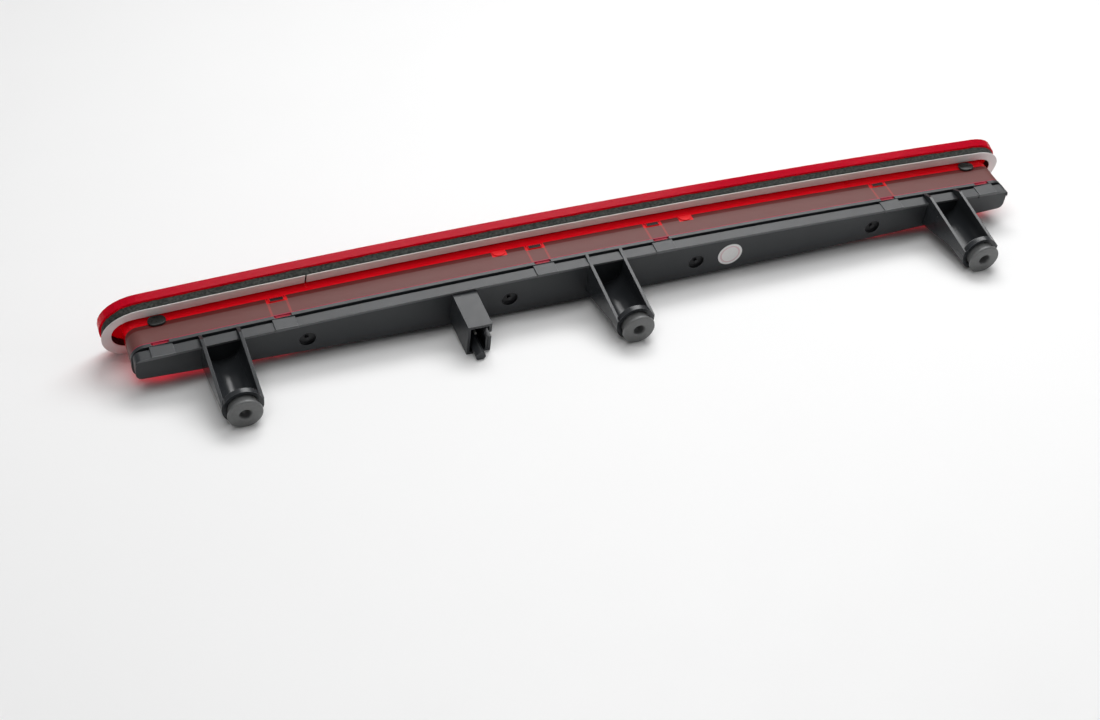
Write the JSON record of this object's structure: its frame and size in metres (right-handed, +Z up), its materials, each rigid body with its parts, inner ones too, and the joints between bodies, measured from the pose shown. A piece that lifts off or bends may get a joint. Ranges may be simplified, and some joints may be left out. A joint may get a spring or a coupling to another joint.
{
  "type": "third brake light",
  "caption": "Long tailgate brake light with a wide red lens, foam gasket, black rear housing, grommet posts and a two-pin socket.",
  "frame": {"origin": "centre of the middle grommet's rear face, where the lamp meets the tailgate's stud", "axes": "+X along the lamp, +Y out of the grommets towards the vehicle (the lens faces -Y), +Z up as fitted"},
  "size_m": [0.46, 0.0838, 0.0443],
  "materials": {
    "red_acrylic": "clear red moulded acrylic, glossy",
    "foam": "closed-cell foam, matte",
    "liner_paper": "waxed release paper",
    "black_plastic": "fine satin mould texture",
    "grommet_rubber": "soft grey elastomer, smooth",
    "dark_plastic": "satin",
    "bright_plate": "metallised plastic",
    "board_white": "white solder mask",
    "led_body": "moulded package with a clear dome",
    "screw_steel": "zinc plated",
    "chip_black": "moulded package",
    "can_aluminium": "bare can",
    "pin_brass": "plated",
    "sealant": "cured bead",
    "pad_rubber": "matte",
    "sticker_paper": "blank satin sticker"
  },
  "bodies": {
    "root": {"outer_lens": "red_acrylic", "foam_gasket": "foam", "release_liner": "liner_paper", "housing": "black_plastic", "grommet_left": "grommet_rubber", "grommet_middle": "grommet_rubber", "grommet_right": "grommet_rubber", "carrier": "dark_plastic", "reflector": "bright_plate", "circuit_board": "board_white", "leds": "led_body", "board_screws": "screw_steel", "resistors": "chip_black", "diodes": "chip_black", "drivers": "chip_black", "capacitor": "can_aluminium", "posts": "black_plastic", "socket": "black_plastic", "contact_pins": "pin_brass", "seal_bead": "sealant", "end_pads": "pad_rubber", "label": "sticker_paper"}
  },
  "joints": []
}
